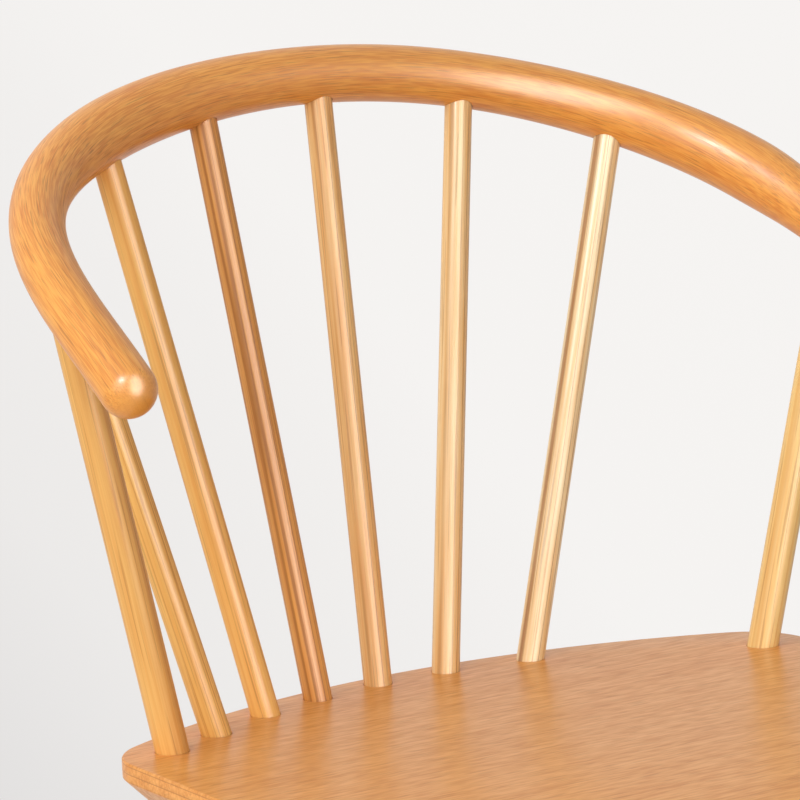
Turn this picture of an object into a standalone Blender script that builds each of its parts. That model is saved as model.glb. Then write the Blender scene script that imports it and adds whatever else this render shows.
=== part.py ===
"""A wooden armchair: a flat solid seat, one bent bow that makes the back rail and both arms,
two thick arm posts, six thin back spindles, and four splayed legs tied by three stretchers.

Metres, +Z up. The floor is at z = 0, the front of the chair faces -Y, and left and right are
as seen from the front, so the left side is at -X.
"""

import math

import bmesh
import bpy
from mathutils import Matrix, Vector

# Seat
SEAT_HEIGHT = 0.440
SEAT_DEPTH = 0.450
SEAT_FRONT_WIDTH = 0.536
SEAT_TAPER = 0.036
SEAT_REAR_CROWN = 0.069
SEAT_FRONT_CROWN = 0.014
SEAT_REAR_CORNER_RADIUS = 0.048
SEAT_FRONT_CORNER_RADIUS = 0.060
SEAT_THICKNESS = 0.030
SEAT_RIM_HEIGHT = 0.0115
SEAT_TOP_EDGE_RADIUS = 0.0015

# Bow, measured at its centre line; heights are above the seat
BOW_OVERHANG = 0.0884
BOW_SIDE_OVERHANG = 0.0104
BOW_BEND_DEPTH = 0.208
BOW_ARM_LENGTH = 0.027
BOW_RISE = 0.3795
BOW_ARM_DROP = 0.1497
BOW_BACK_RADIUS = 0.0185
LEFT_SHOULDER_RADIUS = 0.0202
RIGHT_SHOULDER_RADIUS = 0.0213
BOW_ARM_RADIUS = 0.0165
BOW_POWER_RATIO = 2.56
# How far along each half the bow starts to swell, is thickest, and has thinned to the arm
LEFT_SWELL_SHARES = (0.0, 0.36, 0.70)
RIGHT_SWELL_SHARES = (0.25, 0.72, 0.90)

# Arm posts and back spindles; their feet stand on one arc, their heads enter the bow.
# The left post stands a little behind the arc and the right one a little before it.
POST_RADIUS = 0.0101
SPINDLE_RADIUS = 0.0090
FOOT_ROW_RADIUS = 0.350
FOOT_ROW_INSET = 0.018
POST_SIDE_INSET = 0.034
POST_SET_BACKS = (0.009, -0.011)
# Feet as shares of the arc from the middle to an arm post, heads as shares of half the bow
SPINDLE_FOOT_SHARES = (-0.782, -0.548, -0.336, -0.118, 0.106, 0.367)
SPINDLE_HEAD_SHARES = (-0.622, -0.406, -0.203, 0.010, 0.259, 0.500)
POST_HEAD_SHARES = (-0.824, 0.881)
SPINDLE_SOCKET_DEPTH = 0.020
SPINDLE_END_CHAMFER = 0.0015
HEAD_PAST_CENTRE = 0.003

# Legs: sockets in the seat's underside, and how far the feet spread from them
LEG_TOP_RADIUS = 0.013
LEG_BELLY_RADIUS = 0.017
LEG_FOOT_RADIUS = 0.011
LEG_BELLY_SHARE = 0.38
LEG_SOCKET_DEPTH = 0.019
LEG_NECK_LENGTH = 0.030
LEG_TRIM_LENGTH = 0.020
FRONT_SOCKET_INSET = 0.071
REAR_SOCKET_INSET = 0.114
FRONT_SOCKET_SIDE_INSET = 0.078
REAR_SOCKET_SIDE_INSET = 0.085
FRONT_FOOT_OUT = 0.045
FRONT_FOOT_FORWARD = 0.050
REAR_FOOT_OUT = 0.050
REAR_FOOT_BACK = 0.115

# Stretchers
STRETCHER_HEIGHT = 0.165
STRETCHER_BELLY_RADIUS = 0.011
STRETCHER_TENON_RADIUS = 0.008
STRETCHER_TENON_LENGTH = 0.022
TENON_PAST_AXIS = 0.003
CROSS_TENON_RADIUS = 0.0065
CROSS_TENON_LENGTH = 0.014

# Glides under the legs
GLIDE_RADIUS = 0.0095
GLIDE_HEIGHT = 0.004
GLIDE_CHAMFER = 0.001
GLIDE_PIN_RADIUS = 0.0015
GLIDE_PIN_LENGTH = 0.012

# Fits and making
CLEARANCE = 0.0003
SOCKET_END_GAP = 0.0006
CUTTER_OVERRUN = 0.010
MERGE_DISTANCE = 0.00001
SHARP_ANGLE = math.radians(35)
SIDES = 24
BOW_STATIONS = 26
BOW_PLAN_STEPS = 120
BOW_BEVEL_RESOLUTION = 10
BALL_STEPS = 5
BALL_LAST_ANGLE = math.radians(84)
SWELL_STEPS = 6
EDGE_ARC_STEPS = 10
CORNER_ARC_STEPS = 8
TOP_EDGE_SEGMENTS = 2

# The outline's bounding box is centred on the origin, front to back
SEAT_FRONT = -(SEAT_DEPTH + BOW_OVERHANG) / 2
SEAT_REAR = SEAT_FRONT + SEAT_DEPTH
SEAT_UNDERSIDE = SEAT_HEIGHT - SEAT_THICKNESS
SEAT_REAR_WIDTH = SEAT_FRONT_WIDTH - SEAT_TAPER
BOW_HALF_WIDTH = SEAT_FRONT_WIDTH / 2 + BOW_SIDE_OVERHANG
BOW_BACK = SEAT_REAR + BOW_OVERHANG - BOW_BACK_RADIUS
BOW_ARM_START = BOW_BACK - BOW_BEND_DEPTH
FOOT_ROW_BACK = SEAT_REAR - FOOT_ROW_INSET
POST_FOOT_X = SEAT_REAR_WIDTH / 2 - POST_SIDE_INSET
FRONT_SOCKET_X = SEAT_FRONT_WIDTH / 2 - FRONT_SOCKET_SIDE_INSET
REAR_SOCKET_X = SEAT_REAR_WIDTH / 2 - REAR_SOCKET_SIDE_INSET

OAK_SEAT = ("oak_seat", (0.61, 0.34, 0.15), 0.38, 0.0)
OAK_BOW = ("oak_bow", (0.68, 0.38, 0.15), 0.36, 0.0)
OAK_SPINDLES = ("oak_spindles", (0.72, 0.43, 0.18), 0.40, 0.0)
OAK_LEGS = ("oak_legs", (0.66, 0.37, 0.15), 0.40, 0.0)
GLIDE_NYLON = ("glide_nylon", (0.30, 0.22, 0.15), 0.55, 0.0)


def clear_scene():
    for thing in list(bpy.data.objects):
        bpy.data.objects.remove(thing, do_unlink=True)


def new_collection(name):
    collection = bpy.data.collections.new(name)
    bpy.context.scene.collection.children.link(collection)
    return collection


def material(finish):
    name, colour, roughness, metallic = finish
    found = bpy.data.materials.get(name)
    if found:
        return found
    made = bpy.data.materials.new(name)
    made.use_nodes = True
    shader = made.node_tree.nodes["Principled BSDF"]
    shader.inputs["Base Color"].default_value = (*colour, 1)
    shader.inputs["Roughness"].default_value = roughness
    shader.inputs["Metallic"].default_value = metallic
    return made


def add_piece(name, data, collection, finish):
    piece = bpy.data.objects.new(name, data)
    data.materials.clear()
    data.materials.append(material(finish))
    collection.objects.link(piece)
    return piece


def shade_round(mesh):
    mesh.shade_smooth()
    mesh.set_sharp_from_angle(angle=SHARP_ANGLE)


def along(start, end):
    """The matrix that stands a piece, made along +Z from its origin, on start and points it at end."""
    turn = (end - start).to_track_quat("Z", "Y").to_matrix().to_4x4()
    return Matrix.Translation(start) @ turn


def turned(name, profile, placing, collection, finish):
    """A turned piece: profile holds (radius, height) from its top end to its bottom end."""
    mesh = bpy.data.meshes.new(name)
    edges = [(index, index + 1) for index in range(len(profile) - 1)]
    mesh.from_pydata([(radius, 0, height) for radius, height in profile], edges, [])
    piece = add_piece(name, mesh, collection, finish)
    piece.matrix_world = placing
    screw = piece.modifiers.new("Turn", "SCREW")
    screw.steps = SIDES
    screw.render_steps = SIDES
    screw.use_merge_vertices = True
    screw.merge_threshold = MERGE_DISTANCE
    screw.use_smooth_shade = True
    return piece


def round_cutter(name, start, end, radius, collection):
    """A cylinder between two points, for a socket."""
    bm = bmesh.new()
    bmesh.ops.create_cone(
        bm, cap_ends=True, segments=SIDES, radius1=radius, radius2=radius, depth=(end - start).length
    )
    mesh = bpy.data.meshes.new(name)
    bm.to_mesh(mesh)
    bm.free()
    cutter = bpy.data.objects.new(name, mesh)
    cutter.matrix_world = along((start + end) / 2, end)
    return hide_cutter(cutter, collection)


def hide_cutter(cutter, collection):
    cutter.hide_render = True
    cutter.display_type = "WIRE"
    collection.objects.link(cutter)
    return cutter


def cut(piece, cutter):
    boolean = piece.modifiers.new(cutter.name, "BOOLEAN")
    boolean.operation = "DIFFERENCE"
    boolean.solver = "EXACT"
    boolean.object = cutter


def smooth_step(share):
    return share * share * (3 - 2 * share)


def swell(start, end, steps):
    """Heights and radii that ease from one (radius, height) to another, the first left out."""
    for step in range(1, steps + 1):
        share = step / steps
        radius = start[0] + (end[0] - start[0]) * smooth_step(share)
        yield radius, start[1] + (end[1] - start[1]) * share


# Seat


def corner_arc(circle_y, circle_radius, line_start, direction, radius, rear):
    """The rounded corner between an edge that bows out as an arc and the seat's right side."""
    inward = Vector((direction.y, -direction.x))
    offset = line_start + inward * radius - Vector((0, circle_y))
    middle = -offset.dot(direction)
    reach = math.sqrt(middle**2 - offset.length_squared + (circle_radius - radius) ** 2)
    run = middle - reach if rear else middle + reach
    centre = line_start + inward * radius + direction * run
    outward = (centre - Vector((0, circle_y))).normalized()
    first = math.atan2(outward.y, outward.x)
    last = math.atan2(-inward.y, -inward.x)
    for step in range(CORNER_ARC_STEPS + 1):
        angle = first + (last - first) * step / CORNER_ARC_STEPS
        yield centre + Vector((math.cos(angle), math.sin(angle))) * radius


def edge_arc(circle_y, circle_radius, meeting, top):
    """Points on a bowed edge from the centre line out to where the corner starts, both left out."""
    full = math.asin(meeting.x / circle_radius)
    for step in range(1, EDGE_ARC_STEPS):
        angle = full * step / EDGE_ARC_STEPS
        y = circle_radius * math.cos(angle)
        yield Vector((circle_radius * math.sin(angle), circle_y + (y if top else -y)))


def arc_radius(half_chord, rise):
    return (half_chord**2 + rise**2) / (2 * rise)


def seat_outline():
    """The seat's outline from above: bowed rear and front edges, straight sides, round corners."""
    rear_radius = arc_radius(SEAT_REAR_WIDTH / 2, SEAT_REAR_CROWN)
    front_radius = arc_radius(SEAT_FRONT_WIDTH / 2, SEAT_FRONT_CROWN)
    rear_y = SEAT_REAR - rear_radius
    front_y = SEAT_FRONT + front_radius
    start = Vector((SEAT_REAR_WIDTH / 2, SEAT_REAR - SEAT_REAR_CROWN))
    end = Vector((SEAT_FRONT_WIDTH / 2, SEAT_FRONT + SEAT_FRONT_CROWN))
    down = (end - start).normalized()
    rear_corner = list(corner_arc(rear_y, rear_radius, start, down, SEAT_REAR_CORNER_RADIUS, True))
    front_corner = list(corner_arc(front_y, front_radius, start, down, SEAT_FRONT_CORNER_RADIUS, False))
    front_corner.reverse()
    right = [Vector((0, SEAT_REAR))]
    right += edge_arc(rear_y, rear_radius, rear_corner[0], True)
    right += rear_corner + front_corner
    right += reversed(list(edge_arc(front_y, front_radius, front_corner[-1], False)))
    right.append(Vector((0, SEAT_FRONT)))
    left = [Vector((-point.x, point.y)) for point in reversed(right[1:-1])]
    return right + left


def ring_at(bm, height):
    return [e for e in bm.edges if all(abs(v.co.z - height) < MERGE_DISTANCE for v in e.verts)]


def make_seat(collection):
    bm = bmesh.new()
    bm.faces.new([bm.verts.new((point.x, point.y, SEAT_HEIGHT)) for point in seat_outline()])
    lower = bmesh.ops.extrude_face_region(bm, geom=bm.faces[:], use_keep_orig=True)["geom"]
    for vert in [item for item in lower if isinstance(item, bmesh.types.BMVert)]:
        vert.co.z = SEAT_UNDERSIDE
    chamfer = SEAT_THICKNESS - SEAT_RIM_HEIGHT
    edges = ring_at(bm, SEAT_UNDERSIDE)
    bmesh.ops.bevel(bm, geom=edges, offset=chamfer, segments=1, profile=0.5, affect="EDGES")
    edges = ring_at(bm, SEAT_HEIGHT)
    bmesh.ops.bevel(
        bm,
        geom=edges,
        offset=SEAT_TOP_EDGE_RADIUS,
        segments=TOP_EDGE_SEGMENTS,
        profile=0.5,
        affect="EDGES",
    )
    bmesh.ops.recalc_face_normals(bm, faces=bm.faces[:])
    mesh = bpy.data.meshes.new("seat")
    bm.to_mesh(mesh)
    bm.free()
    shade_round(mesh)
    return add_piece("seat", mesh, collection, OAK_SEAT)


# Bow


def bow_plan():
    """The right half of the bow from above: a superellipse quarter, then the straight arm."""
    power = 2 / BOW_POWER_RATIO
    points = []
    for step in range(BOW_PLAN_STEPS):
        angle = math.radians(90) * step / BOW_PLAN_STEPS
        x = BOW_HALF_WIDTH * math.sin(angle) ** power
        points.append(Vector((x, BOW_ARM_START + BOW_BEND_DEPTH * math.cos(angle) ** power)))
    points.append(Vector((BOW_HALF_WIDTH, BOW_ARM_START)))
    points.append(Vector((BOW_HALF_WIDTH, BOW_ARM_START - BOW_ARM_LENGTH)))
    return points


def bow_point(share, plan):
    """The centre line at a share of its half length: 0 in the middle, 1 and -1 at the arm ends."""
    lengths = [0]
    for start, end in zip(plan, plan[1:]):
        lengths.append(lengths[-1] + (end - start).length)
    want = abs(share) * lengths[-1]
    index = max(i for i in range(len(plan) - 1) if lengths[i] <= want)
    part = (want - lengths[index]) / (lengths[index + 1] - lengths[index])
    place = plan[index].lerp(plan[index + 1], part)
    height = SEAT_HEIGHT + BOW_RISE - BOW_ARM_DROP * share**2
    return Vector((math.copysign(place.x, share), place.y, height))


def bow_radius(share, shoulder_radius, swell_shares):
    """The bow swells from the back to the shoulder and thins again to the arm."""
    first, shoulder, last = swell_shares
    if share < shoulder:
        part = max((share - first) / (shoulder - first), 0)
        return BOW_BACK_RADIUS + (shoulder_radius - BOW_BACK_RADIUS) * smooth_step(part)
    part = min((share - shoulder) / (last - shoulder), 1)
    return shoulder_radius + (BOW_ARM_RADIUS - shoulder_radius) * smooth_step(part)


def bow_stations(side, shoulder_radius, swell_shares, plan):
    """(place, radius) along one half, from the middle of the back to the ball end."""
    stations = []
    for step in range(BOW_STATIONS + 1):
        share = step / BOW_STATIONS
        radius = bow_radius(share, shoulder_radius, swell_shares)
        stations.append((bow_point(side * share, plan), radius))
    centre, radius = stations[-1]
    forward = (centre - stations[-2][0]).normalized()
    for step in range(1, BALL_STEPS + 1):
        angle = BALL_LAST_ANGLE * step / BALL_STEPS
        stations.append((centre + forward * radius * math.sin(angle), radius * math.cos(angle)))
    return stations


def make_bow(collection, plan):
    curve = bpy.data.curves.new("arm_bow", "CURVE")
    curve.dimensions = "3D"
    curve.bevel_depth = BOW_BACK_RADIUS
    curve.bevel_resolution = BOW_BEVEL_RESOLUTION
    curve.use_fill_caps = True
    left = bow_stations(-1, LEFT_SHOULDER_RADIUS, LEFT_SWELL_SHARES, plan)
    right = bow_stations(1, RIGHT_SHOULDER_RADIUS, RIGHT_SWELL_SHARES, plan)
    stations = left[:0:-1] + right
    spline = curve.splines.new("POLY")
    spline.points.add(len(stations) - 1)
    for point, (place, radius) in zip(spline.points, stations):
        point.co = (*place, 1)
        point.radius = radius / BOW_BACK_RADIUS
    return curve_to_piece("arm_bow", curve, collection, OAK_BOW)


def curve_to_piece(name, curve, collection, finish):
    """The curve's tube as a closed mesh, so that sockets can be cut in it."""
    guide = bpy.data.objects.new(name + "_line", curve)
    collection.objects.link(guide)
    graph = bpy.context.evaluated_depsgraph_get()
    mesh = bpy.data.meshes.new_from_object(guide.evaluated_get(graph))
    placing = guide.matrix_world.copy()
    bpy.data.objects.remove(guide, do_unlink=True)
    bm = bmesh.new()
    bm.from_mesh(mesh)
    bmesh.ops.remove_doubles(bm, verts=bm.verts[:], dist=MERGE_DISTANCE)
    bmesh.ops.recalc_face_normals(bm, faces=bm.faces[:])
    bm.to_mesh(mesh)
    bm.free()
    mesh.name = name
    shade_round(mesh)
    piece = add_piece(name, mesh, collection, finish)
    piece.matrix_world = placing
    return piece


# Posts and spindles


def foot_point(share, set_back=0):
    """Where an upright's centre line meets the seat, as a share of the arc out to an arm post."""
    angle = math.asin(POST_FOOT_X / FOOT_ROW_RADIUS) * share
    x = FOOT_ROW_RADIUS * math.sin(angle)
    y = FOOT_ROW_BACK - FOOT_ROW_RADIUS * (1 - math.cos(angle)) + set_back
    return Vector((x, y, SEAT_HEIGHT))


def dowel_profile(radius, length):
    """A plain round rod with its two hidden ends chamfered."""
    inner = radius - SPINDLE_END_CHAMFER
    return [
        (0, length),
        (inner, length),
        (radius, length - SPINDLE_END_CHAMFER),
        (radius, SPINDLE_END_CHAMFER),
        (inner, 0),
        (0, 0),
    ]


def make_upright(name, foot, head, radius, seat, bow, parts, cutters):
    """A rod let into blind sockets, in the seat at its foot and in the bow at its head."""
    direction = (head - foot).normalized()
    bottom = foot - direction * (SPINDLE_SOCKET_DEPTH / direction.z)
    top = head + direction * HEAD_PAST_CENTRE
    turned(name, dowel_profile(radius, (top - bottom).length), along(bottom, top), parts, OAK_SPINDLES)
    low = bottom - direction * SOCKET_END_GAP
    high = top + direction * SOCKET_END_GAP
    socket = round_cutter(name + "_socket", low, high, radius + CLEARANCE, cutters)
    cut(seat, socket)
    cut(bow, socket)


def make_uprights(seat, bow, plan, parts, cutters):
    posts = zip((-1, 1), ("left", "right"), POST_SET_BACKS, POST_HEAD_SHARES)
    for side, word, set_back, head_share in posts:
        ends = foot_point(side, set_back), bow_point(head_share, plan)
        make_upright(f"arm_post_{word}", *ends, POST_RADIUS, seat, bow, parts, cutters)
    for number, shares in enumerate(zip(SPINDLE_FOOT_SHARES, SPINDLE_HEAD_SHARES), start=1):
        ends = foot_point(shares[0]), bow_point(shares[1], plan)
        make_upright(f"back_spindle_{number}", *ends, SPINDLE_RADIUS, seat, bow, parts, cutters)


# Legs, stretchers and glides


def leg_line(side, front):
    """A leg's centre line: its socket on the seat's underside, and its foot on the floor."""
    if front:
        socket = Vector((side * FRONT_SOCKET_X, SEAT_FRONT + FRONT_SOCKET_INSET, SEAT_UNDERSIDE))
        out, back = FRONT_FOOT_OUT, -FRONT_FOOT_FORWARD
    else:
        socket = Vector((side * REAR_SOCKET_X, SEAT_REAR - REAR_SOCKET_INSET, SEAT_UNDERSIDE))
        out, back = REAR_FOOT_OUT, REAR_FOOT_BACK
    return socket, Vector((socket.x + side * out, socket.y + back, 0))


def leg_profile(length):
    """From the neck in the seat, out to the belly, then down to the foot; the origin is the top end."""
    belly = (LEG_BELLY_RADIUS, length * (1 - LEG_BELLY_SHARE))
    neck = (LEG_TOP_RADIUS, length - LEG_NECK_LENGTH)
    end = (LEG_FOOT_RADIUS, 0)
    profile = [(0, length), (LEG_TOP_RADIUS, length), neck]
    profile += swell(neck, belly, SWELL_STEPS)
    profile += swell(belly, end, SWELL_STEPS)
    return profile + [(0, 0)]


def make_leg(name, side, front, seat, trim, parts, cutters):
    socket, floor = leg_line(side, front)
    direction = (socket - floor).normalized()
    top = socket + direction * (LEG_SOCKET_DEPTH / direction.z)
    bottom = floor - direction * LEG_TRIM_LENGTH
    leg = turned(name, leg_profile((top - bottom).length), along(bottom, top), parts, OAK_LEGS)
    low = socket - direction * CUTTER_OVERRUN
    high = top + direction * SOCKET_END_GAP
    cut(seat, round_cutter(name + "_socket", low, high, LEG_TOP_RADIUS + CLEARANCE, cutters))
    cut(leg, trim)
    return leg


def make_trim(cutters):
    """A slab that cuts the legs off level, a clearance above their glides."""
    depth = LEG_TRIM_LENGTH + CUTTER_OVERRUN
    height = GLIDE_HEIGHT + CLEARANCE + depth
    bm = bmesh.new()
    bmesh.ops.create_cube(bm, size=1)
    spread = Vector((SEAT_FRONT_WIDTH, SEAT_DEPTH, 0)) + Vector((1, 1, 0)) * SEAT_DEPTH
    bmesh.ops.scale(bm, vec=(spread.x, spread.y, height), verts=bm.verts[:])
    mesh = bpy.data.meshes.new("floor_trim")
    bm.to_mesh(mesh)
    bm.free()
    trim = bpy.data.objects.new("floor_trim", mesh)
    trim.location.z = height / 2 - depth
    return hide_cutter(trim, cutters)


def make_glide(name, side, front, leg, parts, cutters):
    floor = leg_line(side, front)[1]
    socket = leg_line(side, front)[0]
    middle = floor.lerp(socket, GLIDE_HEIGHT / SEAT_UNDERSIDE)
    base = Vector((middle.x, middle.y, 0))
    pin_top = GLIDE_HEIGHT + GLIDE_PIN_LENGTH
    profile = [
        (0, pin_top),
        (GLIDE_PIN_RADIUS, pin_top),
        (GLIDE_PIN_RADIUS, GLIDE_HEIGHT),
        (GLIDE_RADIUS, GLIDE_HEIGHT),
        (GLIDE_RADIUS, GLIDE_CHAMFER),
        (GLIDE_RADIUS - GLIDE_CHAMFER, 0),
        (0, 0),
    ]
    turned(name, profile, Matrix.Translation(base), parts, GLIDE_NYLON)
    high = base + Vector((0, 0, pin_top + SOCKET_END_GAP))
    cut(leg, round_cutter(name + "_pin_hole", base, high, GLIDE_PIN_RADIUS + CLEARANCE, cutters))


def stretcher_profile(length, tenon_radius, tenon_length):
    """Two tenons and a rod that swells to its middle."""
    low = (tenon_radius, tenon_length)
    high = (tenon_radius, length - tenon_length)
    middle = (STRETCHER_BELLY_RADIUS, length / 2)
    profile = [(0, length), (tenon_radius, length), high]
    profile += swell(high, middle, SWELL_STEPS)
    profile += list(swell(middle, low, SWELL_STEPS))
    return profile + [(tenon_radius, 0), (0, 0)]


def make_stretcher(name, start, end, tenon, carriers, parts, cutters):
    """A stretcher between two centre lines, let a little past each of them."""
    radius, length = tenon
    direction = (end - start).normalized()
    low = start - direction * TENON_PAST_AXIS
    high = end + direction * TENON_PAST_AXIS
    profile = stretcher_profile((high - low).length, radius, length)
    piece = turned(name, profile, along(low, high), parts, OAK_LEGS)
    gap = direction * SOCKET_END_GAP
    socket = round_cutter(name + "_socket", low - gap, high + gap, radius + CLEARANCE, cutters)
    for carrier in carriers:
        cut(carrier, socket)
    return piece


def make_base(seat, parts, cutters):
    trim = make_trim(cutters)
    side_tenon = (STRETCHER_TENON_RADIUS, STRETCHER_TENON_LENGTH)
    middles, sides = [], []
    for side, word in ((-1, "left"), (1, "right")):
        legs, crossings = [], []
        for front, end in ((True, "front"), (False, "rear")):
            leg = make_leg(f"{end}_leg_{word}", side, front, seat, trim, parts, cutters)
            make_glide(f"{end}_glide_{word}", side, front, leg, parts, cutters)
            socket, floor = leg_line(side, front)
            crossings.append(floor.lerp(socket, STRETCHER_HEIGHT / SEAT_UNDERSIDE))
            legs.append(leg)
        name = f"side_stretcher_{word}"
        sides.append(make_stretcher(name, *crossings, side_tenon, legs, parts, cutters))
        middles.append((crossings[0] + crossings[1]) / 2)
    cross_tenon = (CROSS_TENON_RADIUS, CROSS_TENON_LENGTH)
    make_stretcher("cross_stretcher", *middles, cross_tenon, sides, parts, cutters)


def main():
    clear_scene()
    parts = new_collection("wooden_armchair")
    cutters = new_collection("cutters")
    plan = bow_plan()
    seat = make_seat(parts)
    bow = make_bow(parts, plan)
    make_uprights(seat, bow, plan, parts, cutters)
    make_base(seat, parts, cutters)


main()
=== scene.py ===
"""The finished look of a wooden armchair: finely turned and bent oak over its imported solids,
with grain that follows each piece, on a pale studio floor.

Metres, +Z up. The front of the chair faces -Y, and left and right are as seen from the front.
"""

from math import asin, atan2, cos, pi, radians, sin, sqrt, tan

import bmesh
import bpy
import numpy as np
from bpy.props import FloatProperty, FloatVectorProperty, IntProperty, PointerProperty
from bpy.types import Operator, Panel, PropertyGroup
from mathutils import Euler, Matrix, Vector


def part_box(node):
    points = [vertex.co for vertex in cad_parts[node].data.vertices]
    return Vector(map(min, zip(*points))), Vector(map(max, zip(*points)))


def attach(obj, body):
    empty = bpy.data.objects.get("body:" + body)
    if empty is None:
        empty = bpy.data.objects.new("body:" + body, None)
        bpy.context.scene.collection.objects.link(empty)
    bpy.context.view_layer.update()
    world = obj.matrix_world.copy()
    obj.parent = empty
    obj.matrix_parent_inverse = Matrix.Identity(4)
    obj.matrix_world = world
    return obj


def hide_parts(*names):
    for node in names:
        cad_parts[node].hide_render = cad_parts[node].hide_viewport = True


bl_info = {
    "name": "Wooden armchair",
    "version": (1, 0, 0),
    "blender": (4, 5, 0),
    "location": "View3D > Sidebar > Armchair",
    "description": "Builds a bow-backed oak armchair and the studio around it",
    "category": "Add Mesh",
}

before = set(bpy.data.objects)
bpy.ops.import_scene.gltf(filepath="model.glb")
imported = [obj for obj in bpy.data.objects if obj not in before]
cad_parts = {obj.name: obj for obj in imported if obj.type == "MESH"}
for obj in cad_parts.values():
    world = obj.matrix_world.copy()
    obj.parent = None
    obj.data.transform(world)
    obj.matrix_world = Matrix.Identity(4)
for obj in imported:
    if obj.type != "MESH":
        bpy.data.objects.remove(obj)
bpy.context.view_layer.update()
SEAT_LOW, SEAT_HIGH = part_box("seat")
BODY = "root"
SHARP_ANGLE = radians(32)


def real(name, note, default, **kind):
    return FloatProperty(name=name, description=note, default=default, **kind)


def length(name, note, default):
    return real(name, note, default, unit="LENGTH", precision=4)


def share(name, note, default):
    return real(name, note, default, subtype="FACTOR", min=0, max=1)


def watts(name, note, default):
    return real(name, note, default, unit="POWER")


def degrees(name, note, default):
    return real(name, note, radians(default), subtype="ANGLE")


def whole(name, note, default):
    return IntProperty(name=name, description=note, default=default, subtype="UNSIGNED")


def eight_bit(red, green, blue):
    return red / 255, green / 255, blue / 255


def colour(name, note, *tint):
    shown = eight_bit(*tint)
    kind = {"subtype": "COLOR_GAMMA", "size": 3, "min": 0, "max": 1}
    return FloatVectorProperty(name=name, description=note, default=shown, **kind)


class SeatSizes(PropertyGroup):
    height: length("Height", "Top of the seat above the floor", SEAT_HIGH.z)
    front: length("Front", "Front edge on the Y axis", SEAT_LOW.y)
    depth: length("Depth", "Front edge to rear edge, in the middle", SEAT_HIGH.y - SEAT_LOW.y)
    front_width: length("Front width", "Width at the front corners", 0.536)
    taper: length("Taper", "How much narrower it is at the rear", 0.036)
    rear_crown: length("Rear crown", "How far the rear edge bows out", 0.069)
    front_crown: length("Front crown", "How far the front edge bows out", 0.014)
    rear_corner: length("Rear corners", "Radius of the rear corners", 0.048)
    front_corner: length("Front corners", "Radius of the front corners", 0.060)
    thickness: length("Thickness", "Thickness of the board", SEAT_HIGH.z - SEAT_LOW.z)
    rim: length("Rim", "Upright edge above the chamfer", 0.0115)
    top_round: length("Top rounding", "Radius of the top edge", 0.0015)
    low_round: length("Lower rounding", "Radius of the chamfer's edges", 0.0012)


class BowSizes(PropertyGroup):
    overhang: length("Overhang", "Reach of the bow behind the seat", 0.0884)
    side_overhang: length("Side overhang", "Centre line outside the seat's front width", 0.0104)
    bend_depth: length("Bend depth", "Depth of the bend, without the arms", 0.208)
    arm_length: length("Arm length", "Straight part of each arm", 0.027)
    rise: length("Rise", "Centre line above the seat, at its back", 0.3795)
    arm_drop: length("Arm drop", "How much lower the arm ends are", 0.1497)
    back_radius: length("Back radius", "Radius in the middle of the back", 0.0185)
    left_shoulder: length("Left shoulder", "Largest radius of the left half", 0.0202)
    right_shoulder: length("Right shoulder", "Largest radius of the right half", 0.0213)
    arm_radius: length("Arm radius", "Radius of the arms and their ends", 0.0165)
    power: real("Squareness", "2 bends the bow as an ellipse", 2.56, subtype="UNSIGNED")


class SpindleSizes(PropertyGroup):
    post_radius: length("Post radius", "Radius of the two arm posts", 0.0101)
    spindle_radius: length("Spindle radius", "Radius of the thin spindles", 0.0090)
    row_radius: length("Row radius", "Radius of the arc of the feet", 0.350)
    row_inset: length("Row inset", "Arc before the seat's rear edge", 0.018)
    post_inset: length("Post inset", "Posts inside the seat's rear width", 0.034)
    left_set_back: length("Left set-back", "Left post behind the arc", 0.009)
    right_set_back: length("Right set-back", "Right post behind the arc", -0.011)
    socket_depth: length("Socket depth", "Depth of the feet in the seat", 0.020)
    past_centre: length("Past the centre", "Heads past the bow's centre line", 0.003)


class LegSizes(PropertyGroup):
    top_radius: length("Top radius", "Radius of the neck in the seat", 0.013)
    belly_radius: length("Belly radius", "Radius at the thickest place", 0.017)
    foot_radius: length("Foot radius", "Radius at the floor", 0.011)
    belly_share: share("Belly place", "Where the belly is, from the top", 0.38)
    socket_depth: length("Socket depth", "Depth of the necks in the seat", 0.019)
    neck_length: length("Neck length", "Straight part at the top", 0.030)
    front_inset: length("Front inset", "Front sockets behind the front edge", 0.071)
    rear_inset: length("Rear inset", "Rear sockets before the rear edge", 0.114)
    front_side_inset: length("Front side inset", "Front sockets inside the width", 0.078)
    rear_side_inset: length("Rear side inset", "Rear sockets inside the width", 0.085)
    front_out: length("Front foot out", "Spread of the front feet sideways", 0.045)
    front_forward: length("Front foot forward", "Spread of the front feet forwards", 0.050)
    rear_out: length("Rear foot out", "Spread of the rear feet sideways", 0.050)
    rear_back: length("Rear foot back", "Spread of the rear feet backwards", 0.115)
    stretcher_height: length("Stretcher height", "Side stretchers above the floor", 0.165)
    stretcher_belly: length("Stretcher belly", "Radius in the middle of a stretcher", 0.011)
    side_tenon: length("Side tenon", "Radius of the side stretchers' ends", 0.008)
    cross_tenon: length("Cross tenon", "Radius of the cross stretcher's ends", 0.0065)
    glide_radius: length("Glide radius", "Radius of the glides", 0.0095)
    glide_height: length("Glide height", "Height of the glides' discs", 0.004)


class Fineness(PropertyGroup):
    bow_sides: whole("Bow sides", "Flat sides round the bow", 96)
    bow_stations: whole("Bow stations", "Rings along each half", 110)
    rod_sides: whole("Rod sides", "Flat sides round a rod", 64)
    hole_sides: whole("Hole sides", "Flat sides round a socket", 64)
    arc_steps: whole("Arc steps", "Steps along each arc of the seat", 36)
    clearance: length("Clearance", "Gap between a rod and its socket", 0.0003)
    end_gap: length("End gap", "Gap at the bottom of a socket", 0.0006)


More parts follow.
